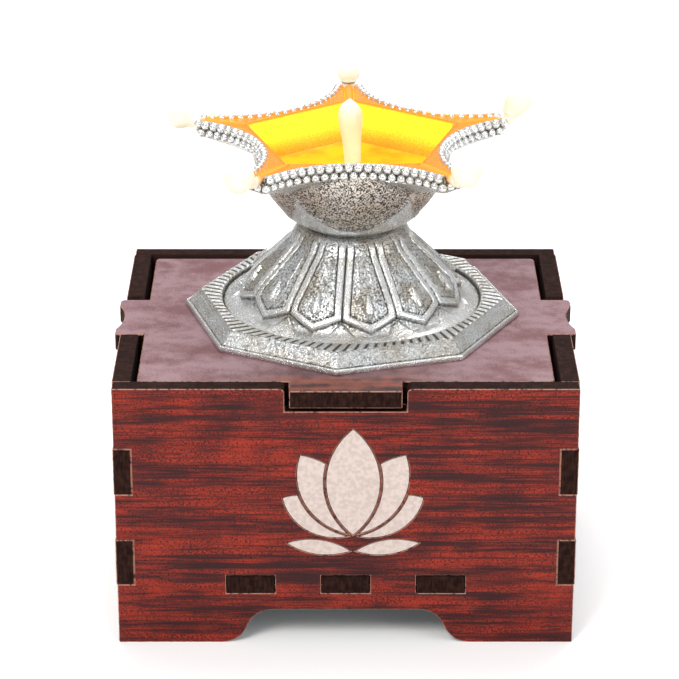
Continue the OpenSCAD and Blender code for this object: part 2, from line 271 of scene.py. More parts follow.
def dressBoard(node, name, outward, face, body):
    # outward: unit normal of the laminated face; face: the material that covers it
    piece = copyNode(node, name)
    mesh = piece.data
    normal = Vector(outward)
    for slot in (face, paleEdge, cutEdge, inside):
        mesh.materials.append(slot)
    level = max(v.co.dot(normal) for v in mesh.vertices)
    for polygon in mesh.polygons:
        if polygon.normal.dot(normal) > 0.9:
            polygon.material_index = 0
        elif polygon.normal.dot(normal) < -0.9:
            polygon.material_index = 3
        else:
            polygon.material_index = 2
    activate(piece)
    bpy.ops.object.mode_set(mode="EDIT")
    bpy.ops.mesh.select_mode(type="EDGE")
    bpy.ops.mesh.select_all(action="DESELECT")
    bpy.ops.mesh.edges_select_sharp(sharpness=math.radians(50))
    bpy.ops.object.mode_set(mode="OBJECT")
    for edge in mesh.edges:
        ends = [mesh.vertices[i].co.dot(normal) for i in edge.vertices]
        edge.select = edge.select and min(ends) > level - 0.01 * mm
    bpy.ops.object.mode_set(mode="EDIT")
    bpy.ops.mesh.bevel(offset=boards["chamfer"], segments=1, material=1, clamp_overlap=True)
    bpy.ops.object.mode_set(mode="OBJECT")
    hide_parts(node)
    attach(piece, body)
    return piece


grainX = laminatePaint("laminateAlongX", 0, 2, (3.1, 0, 0.7))
grainY = laminatePaint("laminateAlongY", 1, 2, (0, 5.2, 2.3))
grainLid = lidPaint("laminateLid", (7.7, 1.9, 0))

dressBoard("front_panel", "frontBoard", (0, -1, 0), grainX, "box")
dressBoard("back_panel", "backBoard", (0, 1, 0), grainX, "box")
dressBoard("left_panel", "leftBoard", (-1, 0, 0), grainY, "box")
dressBoard("right_panel", "rightBoard", (1, 0, 0), grainY, "box")
dressBoard("lid_panel", "lidBoard", (0, 0, 1), grainLid, "lid")
print("boards dressed")


def dressFloor():
    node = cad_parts["floor_panel"]
    node.data.materials.clear()
    node.data.materials.append(cutEdge)


dressFloor()


inlay = {
    "cream": solid(0.50, 0.405, 0.365),
    "creamLight": solid(0.60, 0.495, 0.45),
}


def inlayPaint():
    paint = Paint("inlayCream", Roughness=0.5)
    spots = paint.noise([1 / (0.9 * mm)] * 3, 3.0)
    return paint.give(Base_Color=paint.mix(spots.ramp(0.35, 0.65), inlay["cream"], inlay["creamLight"]),
                      Normal=paint.bump(spots, 0.03 * mm))


def dressInlay():
    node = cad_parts["front_inlay"]
    node.data.materials.clear()
    node.data.materials.append(inlayPaint())


dressInlay()


# ---- ring-by-ring shells for the castings and wicks ----

def smooth(value, low, high):               # 0 below low, 1 above high
    t = np.clip((value - low) / (high - low), 0, 1)
    return t * t * (3 - 2 * t)


def along(points, count):                   # even steps along a bent line
    points = np.array(points, float)
    reach = np.concatenate([[0], np.cumsum(np.linalg.norm(np.diff(points, axis=0), axis=1))])
    steps = np.linspace(0, reach[-1], count)
    return np.stack([np.interp(steps, reach, points[:, i]) for i in range(points.shape[1])], 1)


def skin(name, rings, looped=False, fields=None):
    # rings: list of (count, 3) arrays in millimetres about the lamp's axis on the lid
    grid = np.array(rings)
    rows, count, _ = grid.shape
    points = grid.reshape(-1, 3)
    here = np.arange(count)
    there = (here + 1) % count
    faces = []
    for row in range(rows if looped else rows - 1):
        low, high = row * count, ((row + 1) % rows) * count
        faces.append(np.stack([low + here, low + there, high + there, high + here], 1))
    faces = np.concatenate(faces)
    size = mm * points + np.array(lampAxis)
    closing = []
    if not looped:                          # both ends close on a middle point
        size = np.concatenate([size, [size[:count].mean(0)], [size[-count:].mean(0)]])
        closing = [(rows * count, int(b), int(a)) for a, b in zip(here, there)]
        last = (rows - 1) * count
        closing += [(rows * count + 1, int(last + a), int(last + b)) for a, b in zip(here, there)]
    mesh = bpy.data.meshes.new(name)
    mesh.from_pydata(size.tolist(), [], faces.tolist() + closing)
    for field, values in (fields or {}).items():
        spread = np.array(values, float).reshape(-1)
        spread = np.concatenate([spread, [spread[0]] * (len(size) - len(spread))])
        mesh.attributes.new(field, "FLOAT", "POINT").data.foreach_set("value", spread)
    piece = bpy.data.objects.new(name, mesh)
    bpy.context.collection.objects.link(piece)
    activate(piece)
    bpy.ops.object.mode_set(mode="EDIT")
    bpy.ops.mesh.select_all(action="SELECT")
    bpy.ops.mesh.normals_make_consistent(inside=False)
    bpy.ops.object.mode_set(mode="OBJECT")
    bpy.ops.object.shade_smooth_by_angle(angle=math.radians(50))
    return piece


def dress(piece, material, body, slot, *nodes):
    piece.data.materials.clear()
    piece.data.materials.append(material)
    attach(piece, body)
    if nodes:
        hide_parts(*nodes)
    return piece


# ---- cast metal ----

metal = {
    "bright": solid(0.76, 0.775, 0.775),
    "warm": solid(0.60, 0.565, 0.50),
    # rubbed metal, lighter as painted highlight
    "rubbedAndLit": solid(0.90, 0.90, 0.89),
    # painted shade in grooves and pits, brownish
    "dark": solid(0.048, 0.040, 0.027),
    "grain": 0.42 * mm,           # size of the stippled ground's dimples
    "depth": 0.16 * mm,
}


def castLook(paint, stipple):
    # colour, shade and height of stippled cast metal: painted shade in its pits and lines, painted
    # highlight where it is rubbed and polished
    cavity = paint.attribute("cavity")      # 1 in the lines between petals, where painted shade darkens it
    polishAndHighlight = paint.attribute("polishAndHighlight")      # 1 on rubbed ridges and bands, which are smoother and lighter there with painted highlight
    fine = paint.noise([1 / metal["grain"]] * 3, 2.0)
    worm = (paint.noise([0.55 / metal["grain"]] * 3, 3.0, (4, 2, 9)) - 0.5).calc("ABSOLUTE")
    crease = 1 - worm.ramp(0.0, 0.055)
    patch = paint.noise([1 / (7 * mm)] * 3, 2.0)
    ground = paint.mix(patch.ramp(0.40, 0.62), metal["bright"], metal["warm"])
    ground = paint.mix(polishAndHighlight * 0.6, ground, metal["rubbedAndLit"])
    # painted shade in the stippled ground's creases and pits
    pits = (crease * 0.75 + (1 - fine.ramp(0.30, 0.52)) * 0.55) * (1 - polishAndHighlight * 0.86) * stipple
    shade = (pits + cavity * 0.95).calc("MINIMUM", 1.0)
    height = (fine - crease * 0.8) * (1 - polishAndHighlight * 0.8)
    return paint.mix(shade, ground, metal["dark"]), shade, height, polishAndHighlight


def castPaint():
    paint = Paint("castMetal", Metallic=0.85)
    color, shade, height, polishAndHighlight = castLook(paint, 1.0)
    return paint.give(Base_Color=color, Roughness=0.30 + shade * 0.25 - polishAndHighlight * 0.08,
                      Normal=paint.bump(height, metal["depth"]))


castMetal = castPaint()


# ---- lamp foot ----

foot = {
    "steps": 720,                 # points round a ring
    "turn": -5.4,                 # degrees, turn of the octagon
    "petals": 12,
    "firstGroove": 264.6,         # degrees, a line between two petals
    "ribs": 96,                   # ribs of the rope border, slanted one radian per millimetre
    "skin": [(10.2, 21.4), (11.6, 21.0), (12.6, 19.9), (13.6, 18.0), (15.6, 16.1), (18.5, 13.2),
             (22, 9.8), (25.5, 4.6), (28.8, 3.3)],
    "shoulder": 1.6,              # length of the skin above the petals' start
    "grooveDeep": 0.27,
    "ridgeHigh": 0.27,
    "bossHigh": 0.85,
    "ribHigh": 0.32,
}


def footPaint():                            # with the rope border's slanted ribs round the lamp's axis
    paint = Paint("castMetalFoot", Metallic=0.85)
    color, shade, height, polishAndHighlight = castLook(paint, 0.9)
    rope = paint.attribute("rope")
    here = paint.place((1, 1, 0), (-lampAxis.x, -lampAxis.y, 0))
    x = paint.node("ShaderNodeSeparateXYZ", {}, {0: here}, "X")
    y = paint.node("ShaderNodeSeparateXYZ", {}, {0: here}, "Y")
    out = (x * x + y * y).calc("SQRT")
    wave = (y.calc("ARCTAN2", x) * foot["ribs"] + out * (1.0 / mm)).calc("COSINE")
    # painted shade in the grooves between the rope border's ribs
    line = (1 - wave).ramp(1.15, 1.85) * rope
    color = paint.mix(line * 0.92, color, metal["dark"])
    return paint.give(Base_Color=color, Roughness=0.30 + shade * 0.25 - polishAndHighlight * 0.08 + rope * 0.16,
                      Normal=paint.bump(height + wave * rope * 0.9, metal["depth"]))


footMetal = footPaint()


def octagon(corner, angles):                # distance to the octagon's edge at each angle
    part = (angles - math.radians(foot["turn"])) % math.radians(45) - math.radians(22.5)
    return corner * math.cos(math.radians(22.5)) / np.cos(part)


def petalRelief(reach, radius, angles):
    # height of the relief, its lines and its rubbed parts, at one ring; the lines get painted shade, the
    # rubbed parts painted highlight
    pitch = 2 * math.pi / foot["petals"]
    turn = (angles - math.radians(foot["firstGroove"])) % pitch - pitch / 2
    half = radius * pitch / 2
    side = radius * turn
    a = np.abs(side) / half
    tip = 21.3 - 2.9 * a                    # lower edge of the petal, a V
    inner = np.minimum((1 - a) * half, (tip - reach) * 0.9)
    petal = smooth(inner, -0.05, 0.2)
    ridge = smooth(inner, 0.05, 0.5) * (1 - smooth(inner, 1.45, 1.75))
    line = smooth(inner, 1.62, 1.76) * (1 - smooth(inner, 1.82, 1.98))
    t = np.clip((reach - 12.3) / 5.3, 0, 1)
    width = 0.05 + 1.5 * t ** 0.8 * np.sqrt(np.clip(1 - t ** 5, 0, 1))
    boss = np.sqrt(np.clip(1 - (side / width) ** 2, 0, 1)) * (0 < t < 1)
    fade = smooth(reach, -0.4, 2.0)         # the petals run out under the collar
    veins = np.exp(-((np.abs(side) - 0.42 * (half - 1.4)) / 0.22) ** 2) * \
        smooth(reach, 4, 6) * (1 - smooth(reach, 12.5, 15.5))
    height = petal * (0.22 * (1 - a ** 2) + foot["ridgeHigh"] * ridge - 0.3 * line
                      + foot["bossHigh"] * boss + 0.16 * veins) * fade
    joint = 0.85 * np.exp(-(((1 - a) * half) / 0.16) ** 2) * (reach < 18.6) * fade
    height = height - foot["grooveDeep"] * joint
    low = 1 - petal                         # ground below the petals, with small tips between
    gap = (1 - a) * half
    small = smooth((reach - 18.9) * 0.95 - gap, -0.1, 0.35) * (1 - smooth(reach, 21.6, 23.4))
    height = height + low * (0.4 * small - 0.45 * (1 - smooth(reach, 21.2, 23.6)) * smooth(reach, 17, 18.6))
    edge = np.exp(-((inner + 0.12) / 0.2) ** 2) * smooth(reach, 17.5, 18.6)
    rib = np.exp(-(((reach - 18.9) * 0.95 - gap) / 0.22) ** 2) * low * (reach > 18.9) * (reach < 21.8)
    cavity = np.clip(joint + 0.85 * line * petal * fade + 0.8 * edge + 0.6 * rib
                     + 0.5 * (boss < 0.05) * (boss > 0), 0, 1)
    polishAndHighlight = np.clip(ridge * petal * fade * 0.9 + boss ** 2 + low * smooth(reach, 19.5, 21.5) * 0.85, 0, 1)
    return height, cavity, polishAndHighlight


def makeFoot():
    angles = math.radians(foot["turn"]) + np.arange(foot["steps"]) * 2 * math.pi / foot["steps"]
    cos, sin = np.cos(angles), np.sin(angles)
    rings, cavities, polishAndHighlightRings, ropes = [], [], [], []

    def ring(radius, height, cavity=0.0, polishAndHighlight=0.0, rope=0.0):
        radius = radius + 0 * angles
        rings.append(np.stack([radius * cos, radius * sin, height + 0 * angles], 1))
        cavities.append(cavity + 0 * angles)
        polishAndHighlightRings.append(polishAndHighlight + 0 * angles)
        ropes.append(rope + 0 * angles)

    line = along(foot["skin"], 160)
    for _ in range(6):                      # round the bends of the outline
        line[1:-1] = (line[:-2] + 2 * line[1:-1] + line[2:]) / 4
    line = along(line, 84)
    reach = -foot["shoulder"]
    for i, (radius, height) in enumerate(line):
        before, after = line[max(i - 1, 0)], line[min(i + 1, len(line) - 1)]
        run = (after - before) / np.linalg.norm(after - before)
        if i:
            reach += np.linalg.norm(line[i] - line[i - 1])
        lift, cavity, polishAndHighlight = petalRelief(reach, radius, angles)
        ring(radius - run[1] * lift, height + run[0] * lift, cavity, polishAndHighlight)
    ring(28.95, 3.1, 0.9)                   # groove round the skirt, darkened with painted shade
    ring(29.1, 3.1, 1.0)
    ring(29.25, 3.6, 0.7)
    ring(29.45, 4.05, 0.1, 0.9)
    edge = octagon(34.5, angles)
    for part in np.linspace(0.03, 0.97, 14):            # rope border
        radius = 29.5 + (edge - 29.5) * part
        wave = np.cos(foot["ribs"] * angles + radius)
        swell = smooth(np.minimum(radius - 29.4, edge - radius), 0, 0.45)
        rise = foot["ribHigh"] * (np.abs(wave * 0.5 + 0.5) ** 0.6 - 0.6) * swell
        ring(radius, 4.15 + rise, 0, 0.55, swell)
    ring(edge, 4.2 - 0.05, 0.45, 0.4)
    ring(edge + 0.15, 4.0, 0.15, 0.4)
    for part in (0.25, 0.5, 0.75, 0.93):    # sloping facets
        ring(octagon(34.6 + 2.55 * part, angles), 4.05 - 2.75 * part, 0, 0.4)
    ring(octagon(37.2, angles), 1.22, 0.7)
    ring(octagon(37.35, angles), 1.28, 0.2, 1.0)
    ring(octagon(37.8, angles), 1.3, 0, 1.0)
    ring(octagon(38.0, angles), 1.1, 0, 1.0)
    ring(octagon(38.0, angles), 0.15, 0, 0.6)
    ring(octagon(37.85, angles), 0.0)
    for radius, height in ((28.5, 0), (28.5, 1), (23.5, 2.7), (20, 7.2), (16.5, 10.6), (13.3, 13.6),
                           (9, 16), (9, 17.5), (2.2, 17.5), (2.2, 20)):
        ring(radius, height, 0.25)          # hollow underside and the screw's hole, darkened a little with painted shade
    return skin("lotusFoot", rings, True, {"cavity": cavities, "polishAndHighlight": polishAndHighlightRings, "rope": ropes})


dress(makeFoot(), footMetal, "lamp", "cast_metal", "lamp_foot")
print("foot made")


# ---- star bowl ----

bowl = {
    "starR": 36.2, "sideR": 22.4, "mouth": 3.2,         # end, bay and half width of a spout
    "turn": 1, "spouts": (18, 90, 162, 234, 306),
    "rim": 42.8, "band": 3.6, "ledge": 42.2,
    "radius": 22.3, "centre": 41.4,
    "basinTop": 24.85, "basinLow": 13.4, "basinFloor": 26.2,
    "bayPoints": 110, "endPoints": 14,
    "beadPitch": 2.1, "bead": 1.04,
    "keel": 0.62, "keelPower": 1.05,        # how fast the spouts' underside drops inwards
    "wallIn": 0.85,               # beads sit on a wall this far inside the outline
    "tint": solid(0.80, 0.66, 0.50),        # warm tone of the stippled shields
    # painted flame light inside the bowl: amber low, yellow higher on the walls, orange on the ledge and
    # spouts
    "amber": solid(0.94, 0.30, 0.006),      # low in the basin
    "yellow": solid(0.98, 0.74, 0.02),      # high on the basin's walls
    "orange": solid(0.68, 0.235, 0.016),    # ledge and spouts
    "glowFrom": 34.5, "glowOver": 7.7,      # height where amber starts to turn yellow
    "ledgeFrom": 41.6, "ledgeOver": 0.5,    # height where yellow turns orange
}
cos36, sin36 = math.cos(math.radians(36)), math.sin(math.radians(36))
cornerX = bowl["starR"] * sin36 - bowl["mouth"] * cos36
cornerY = bowl["starR"] * cos36 + bowl["mouth"] * sin36
bayCentre = (cornerX ** 2 + cornerY ** 2 - bowl["sideR"] ** 2) / (2 * (cornerY - bowl["sideR"]))
bayRadius = bayCentre - bowl["sideR"]


def starOutline(inset):
    # points round the star, moved in; the same count and order for every inset
    radius, reach = bayRadius + inset, bowl["starR"] - inset
    lateral = bayCentre * sin36 - math.sqrt(radius ** 2 - (bayCentre * cos36 - reach) ** 2)
    endX = reach * sin36 - lateral * cos36  # where the bay meets the spout's end, bay along Y
    endY = reach * cos36 + lateral * sin36
    half = math.atan2(endX, bayCentre - endY)
    points = []
    for spout in bowl["spouts"]:
        turn = math.radians(spout + bowl["turn"])
        for y in np.linspace(-lateral, lateral, bowl["endPoints"], endpoint=False):
            points.append((reach * math.cos(turn) - y * math.sin(turn),
                           reach * math.sin(turn) + y * math.cos(turn)))
        turn += math.radians(36)
        for a in np.linspace(-half, half, bowl["bayPoints"], endpoint=False):
            out = bayCentre - radius * math.cos(a)
            side = radius * math.sin(a)
            points.append((out * math.cos(turn) - side * math.sin(turn),
                           out * math.sin(turn) + side * math.cos(turn)))
    return np.array(points)


def pentagon(corner, angles):
    part = (angles - math.radians(bowl["spouts"][0] + bowl["turn"])) % math.radians(72)
    return corner * cos36 / np.cos(part - math.radians(36))


def spoutLateral(points):                   # distance from the nearest spout's axis, and along it
    best = np.full(len(points), 1e9)
    reach = np.zeros(len(points))
    for spout in bowl["spouts"]:
        turn = math.radians(spout + bowl["turn"])
        forward = points[:, 0] * math.cos(turn) + points[:, 1] * math.sin(turn)
        side = np.abs(points[:, 1] * math.cos(turn) - points[:, 0] * math.sin(turn))
        side = np.where(forward > 0, side, 1e9)
        reach = np.where(side < best, forward, reach)
        best = np.minimum(best, side)
    return best, reach


def undersideLines(count):
    # for each point of the outline, a line from the collar up the round bowl and out to the wall
    outline = starOutline(bowl["wallIn"] + 0.1)
    edge = starOutline(0)
    ends = np.hypot(outline[:, 0], outline[:, 1])
    angles = np.arctan2(outline[:, 1], outline[:, 0])
    lines = []
    lowest = bowl["rim"] - bowl["band"]
    for angle, end in zip(angles, ends):
        a = np.linspace(math.asin(10.7 / bowl["radius"]), math.radians(86), 60)
        ball = np.stack([bowl["radius"] * np.sin(a), bowl["centre"] - bowl["radius"] * np.cos(a)], 1)
        r = np.linspace(11, end, 70)
        spots = np.stack([r * math.cos(angle), r * math.sin(angle)], 1)
        gap = np.sqrt(((spots[:, None, :] - edge[None, ::3, :]) ** 2).sum(2)).min(1)
        keel = lowest - bowl["keel"] * np.maximum(gap - bowl["wallIn"], 0) ** bowl["keelPower"]
        keelAt = np.interp(ball[:, 0], r, keel)
        keep = ball[:, 1] < np.where(ball[:, 0] <= end, keelAt, 1e9)
        last = int(np.argmin(keep)) if not keep.all() else len(keep)
        ball = ball[:max(last, 2)]
        out = r > ball[-1, 0] + 0.05
        line = np.concatenate([ball, np.stack([r[out], keel[out]], 1)])
        line = along(line, 120)
        for _ in range(24):
            line[1:-1] = (line[:-2] + 2 * line[1:-1] + line[2:]) / 4
        lines.append(along(line, count))
    lines = np.array(lines)
    for _ in range(3):                      # soften from one line to the next as well
        lines = (np.roll(lines, 1, 0) + 2 * lines + np.roll(lines, -1, 0)) / 4
    return angles, lines


def makeBowl():
    rings, cavities, polishAndHighlightRings, giltAndFlameLitRings = [], [], [], []

    def ring(points, height, cavity=0.0, polishAndHighlight=0.0, giltAndFlameLit=0.0):
        none = np.zeros(len(points))
        rings.append(np.column_stack([points, none + height]))
        cavities.append(none + cavity)
        polishAndHighlightRings.append(none + polishAndHighlight)
        giltAndFlameLitRings.append(none + giltAndFlameLit)

    angles, lines = undersideLines(64)
    around = np.stack([np.cos(angles), np.sin(angles)], 1)
    for radius, height in ((1.9, 25.0), (1.9, 20.0), (9.6, 20.0), (10.2, 20.3), (10.35, 21.0), (10.2, 21.5),
                           (10.4, 21.7)):
        ring(around * radius, height, 0.6, 0.7)
    part = (np.degrees(angles) - bowl["spouts"][0] - bowl["turn"]) % 72 - 36     # 0 at a bay's middle
    for i in range(lines.shape[1]):
        radius, height = lines[:, i, 0], lines[:, i, 1]
        # stippled shield in each bay, with a smooth ribbon round its lower edge; painted shade along the
        # ribbon's edge and the lens's lower line, painted highlight on the ribbon and the lobes
        shield = (height - (24.9 + 8.5 * (np.abs(part) / 38) ** 2.4))
        inside = smooth(shield, 0, 0.35) * (radius < 23)
        line = np.exp(-((shield + 0.05) / 0.2) ** 2) * (radius < 22.5)
        lens = height - (35.0 + 3.4 * (np.abs(part) / 23) ** 2)
        lower = np.exp(-(lens / 0.16) ** 2) * (np.abs(part) < 24)
        lobe = np.exp(-(((np.abs(part) - 24) / 4.5) ** 2)) * smooth(height, 36.6, 37.6)
        swell = 0.45 * (1 - inside) * smooth(height, 22.4, 23.4) + 0.35 * lobe
        spread = around * (radius + swell)[:, None]
        ring(spread, height, np.clip(0.8 * line + 0.5 * lower, 0, 1),
             np.clip(1 - inside + lobe, 0, 1) * 0.95)
    wall = starOutline(bowl["wallIn"])
    lateral, reach = spoutLateral(wall)
    notch = (1 - smooth(lateral, 1.1, 1.7)) * (reach > 30)
    top = bowl["rim"] - 0.25
    # painted shade under the beads
    ring(wall, bowl["rim"] - bowl["band"] + 0.25, 0.8)
    ring(wall, top - 0.5 - 1.2 * notch, 0.5)
    ring(starOutline(0.95), top - 1.5 * notch, 0.1, 0.8)
    ring(starOutline(1.1), top + 0.15 - 1.5 * notch, 0, 0.9)
    ring(starOutline(1.35), top + 0.12 - 1.5 * notch, 0, 0.9, 0.3)
    ring(starOutline(1.5), top - 0.15 - 1.3 * notch, 0.2, 0.5, 1.0)
    ring(starOutline(1.65), bowl["ledge"] - 0.1 - 0.9 * notch, 0.3, 0.5, 1.0)
    inner = starOutline(1.8)
    innerAngles = np.arctan2(inner[:, 1], inner[:, 0])
    toward = np.stack([np.cos(innerAngles), np.sin(innerAngles)], 1)
    far = np.hypot(inner[:, 0], inner[:, 1])

    def basin(corner):
        return pentagon(corner, innerAngles)

    for part in (0.0, 0.12, 0.3, 0.5, 0.7, 0.9, 1.0):
        radius = far + (basin(bowl["basinTop"] + 0.55) - far) * part
        spots = toward * radius[:, None]
        lateral, reach = spoutLateral(spots)
        groove = (1 - smooth(lateral, 0.7, 1.3)) * (reach > 22)
        ring(spots, bowl["ledge"] - 0.1 - 0.9 * groove, 0.0, 0.6, 1.0)
    for corner, height in ((25.25, 0.1), (25.05, 0.16), (24.85, 0.1), (24.65, -0.25)):   # thin lip
        ring(toward * basin(corner)[:, None], bowl["ledge"] + height, 0.15, 0.8, 1.0)
    for t in np.linspace(0.04, 1, 14):      # basin walls, a little hollow, to the floor
        corner = bowl["basinTop"] - 0.3 + (bowl["basinLow"] - bowl["basinTop"] + 0.3) * t ** 1.15
        height = bowl["ledge"] - 0.2 + (bowl["basinFloor"] - bowl["ledge"] + 0.2) * t
        ring(toward * basin(corner)[:, None], height, 0.0, 0.7, 1.0)
    ring(toward * 6.0, bowl["basinFloor"], 0, 0.7, 1.0)
    return skin("starBowl", rings, False, {"cavity": cavities, "polishAndHighlight": polishAndHighlightRings, "giltAndFlameLit": giltAndFlameLitRings})


def addBeads():
    outline = starOutline(bowl["wallIn"])
    loop = np.concatenate([outline, outline[:1]])
    reach = np.concatenate([[0], np.cumsum(np.linalg.norm(np.diff(loop, axis=0), axis=1))])
    count = int(reach[-1] / bowl["beadPitch"])
    deselectAll()
    bpy.ops.mesh.primitive_uv_sphere_add(segments=10, ring_count=7, radius=1.0)
    bead = bpy.context.object
    shape = np.array([v.co[:] for v in bead.data.vertices])
    faces = [list(p.vertices) for p in bead.data.polygons]
    bpy.data.objects.remove(bead)
    points, allFaces = [], []
    for row, height in ((0, bowl["rim"] - 1.0), (1, bowl["rim"] - 2.85)):
        for i in range(count):
            at = (i + 0.5 * row) * reach[-1] / count
            x, y = np.interp(at, reach, loop[:, 0]), np.interp(at, reach, loop[:, 1])
            lateral, far = spoutLateral(np.array([[x, y]]))
            if row == 0 and lateral[0] < 1.6 and far[0] > 33:
                continue                    # the spout's mouth is open
            start = sum(len(p) for p in points)
            allFaces += [[start + k for k in face] for face in faces]
            size = bowl["bead"] * (1 if row == 0 else 0.96)
            points.append(shape * size + np.array([x, y, height]))
    mesh = bpy.data.meshes.new("beads")
    mesh.from_pydata((np.concatenate(points) * mm + np.array(lampAxis)).tolist(), [], allFaces)
    piece = bpy.data.objects.new("rimBeads", mesh)
    bpy.context.collection.objects.link(piece)
    activate(piece)
    bpy.ops.object.shade_smooth()
    # all beads get the rubbed tone with painted highlight
    mesh.attributes.new("polishAndHighlight", "FLOAT", "POINT").data.foreach_set("value", [1.0] * len(mesh.vertices))
    return piece


def bowlPaint():
    # cast metal outside; inside gilt, with painted flame light: amber low, yellow higher, orange on the
    # ledge, and a glow
    # the inside glows with painted flame light
    paint = Paint("bowlMetal", Emission_Strength=0.40)
    outside, shade, height, polishAndHighlight = castLook(paint, 2.2)
    outside = paint.mix((1 - polishAndHighlight) * (1 - shade) * 0.5, outside, bowl["tint"])
    giltAndFlameLit = paint.attribute("giltAndFlameLit")
    here = paint.node("ShaderNodeTexCoord", {}, {}, "Object")
    split = paint.node("ShaderNodeSeparateXYZ", {}, {0: here}, "Z")
    glow = ((split - (lampAxis.z + bowl["glowFrom"] * mm)) / (bowl["glowOver"] * mm)).ramp(0.0, 0.55)
    ledge = ((split - (lampAxis.z + bowl["ledgeFrom"] * mm)) / (bowl["ledgeOver"] * mm)).ramp(0.0, 1.0)
    soft = paint.noise([1 / (9 * mm)] * 3, 2.0, (2, 5, 1))
    wall = paint.mix(glow * (0.7 + soft * 0.6), bowl["amber"], bowl["yellow"])
    golden = paint.mix(ledge, wall, bowl["orange"])
    color = paint.mix(giltAndFlameLit, outside, golden)
    return paint.give(Base_Color=color, Roughness=0.30 + shade * 0.25 - polishAndHighlight * 0.08,
                      Metallic=0.85 - giltAndFlameLit * 0.55,
                      Emission_Color=paint.mix(giltAndFlameLit, solid(0, 0, 0), golden),
                      Normal=paint.bump(height, metal["depth"]))


bowlMetal = bowlPaint()
dress(makeBowl(), bowlMetal, "lamp", "cast_metal", "star_bowl")
dress(addBeads(), castMetal, "lamp", "cast_metal")
print("bowl made")


# ---- ghee ----

ghee = {
    "amber": solid(0.84, 0.235, 0.004),
    "light": solid(0.93, 0.34, 0.006),
    "steps": 240, "turn": 19,
    "pool": [(13.2, 26.3), (16, 30.3), (18.7, 34.3), (18.9, 34.5), (18.5, 34.4), (17, 34.3),
             (12, 34.25)],        # five-sided rings: corner distance and height
    "hole": [(5, 34.25), (2.6, 34.4), (1.95, 34.6), (1.9, 33), (1.9, 26.3)],    # round ones, to the wick
}


def gheePaint():
    # the ghee glows with painted flame light
    paint = Paint("ghee", Roughness=0.25, Emission_Strength=0.35, IOR=1.25)
    swirl = paint.noise([1 / (6 * mm)] * 3, 2.0)
    color = paint.mix(swirl.ramp(0.35, 0.65), ghee["amber"], ghee["light"])
    return paint.give(Base_Color=color, Emission_Color=color)


def makeGhee():
    angles = np.arange(ghee["steps"]) * 2 * math.pi / ghee["steps"] + math.radians(ghee["turn"])
    around = np.stack([np.cos(angles), np.sin(angles)], 1)
    sizes = [(pentagon(corner, angles), height) for corner, height in ghee["pool"]]
    sizes += [(radius + 0 * angles, height) for radius, height in ghee["hole"]]
    rings = [np.column_stack([around * radius[:, None], height + 0 * angles]) for radius, height in sizes]
    return skin("gheePool", rings, True)


dress(makeGhee(), gheePaint(), "lamp", "ghee", "ghee_fill")


# ---- wicks ----

wicks = {
    "tail": 24, "bend": 36.8, "height": 41.4,
    "reach": (5.4, 3.2, 4, 5.8, 4.6), "tilt": (54, 72, 16, 26, 42), "head": (2.9, 2.6, 2.7, 3.2, 3.2),
    "names": ("right_rear", "rear", "left_rear", "left_front", "right_front"),
    "tailR": 0.95, "sides": 40,
    "fibre": 0.35 * mm,
    "soaked": (solid(0.66, 0.225, 0.014), solid(0.76, 0.29, 0.03)),
    "dry": (solid(0.80, 0.71, 0.56), solid(0.88, 0.80, 0.66)),
    "soakedLight": solid(1.0, 0.45, 0.03),
    "dryLight": solid(1.0, 0.80, 0.48),
    "centre": (26.3, 50.4),       # lowest and highest point of the upright wick, and its width by height
    "centreShape": [(26.3, 1.2), (27, 1.7), (36, 1.75), (40, 2.0), (43.5, 2.5), (46, 2.75), (48, 2.55),
                    (49.6, 1.7), (50.4, 0.2)],
}


def wickPaint():
    # the whole wick glows a little: at the heads this is the flame, along the soaked tails it is painted
    # flame light
    paint = Paint("cottonWick", Emission_Strength=0.18, Roughness=0.85)
    glow = paint.attribute("glow")
    fibre = paint.noise([1 / wicks["fibre"]] * 3, 3.0)
    color = paint.mix(glow, paint.mix(fibre, *wicks["soaked"]), paint.mix(fibre, *wicks["dry"]))
    light = paint.mix(glow, wicks["soakedLight"], wicks["dryLight"])
    return paint.give(Base_Color=color, Emission_Color=light, Normal=paint.bump(fibre, 0.12 * mm))


cottonWick = wickPaint()


def tube(name, centres, radii, glow, seed):
    # soft round strand through the centres, with a lumpy cotton surface
    chance = random.Random(seed)
    phase = [chance.uniform(0, 6.28) for _ in range(4)]
    centres = np.array(centres, float)
    runs = np.gradient(centres, axis=0)
    runs /= np.linalg.norm(runs, axis=1)[:, None]
    upright = abs(runs[:, 2]).min() > 0.9
    side = np.cross(runs, [0, 1.0, 0] if upright else [0, 0, 1.0])
    side /= np.linalg.norm(side, axis=1)[:, None]
    up = np.cross(side, runs)
    angles = np.arange(wicks["sides"]) * 2 * math.pi / wicks["sides"]
    rings = []
    for i, (centre, radius) in enumerate(zip(centres, radii)):
        lump = 1 + 0.04 * np.sin(3 * angles + phase[0] + i * 0.12)
        lump = lump + 0.025 * np.sin(5 * angles + phase[1] - i * 0.17)
        lump = lump + 0.02 * math.sin(i * 0.2 + phase[2])
        rings.append(centre + radius * lump[:, None] * (np.cos(angles)[:, None] * side[i]
                                                        + np.sin(angles)[:, None] * up[i]))
    return skin(name, rings, False, {"glow": np.repeat(np.array(glow)[:, None], wicks["sides"], 1)})


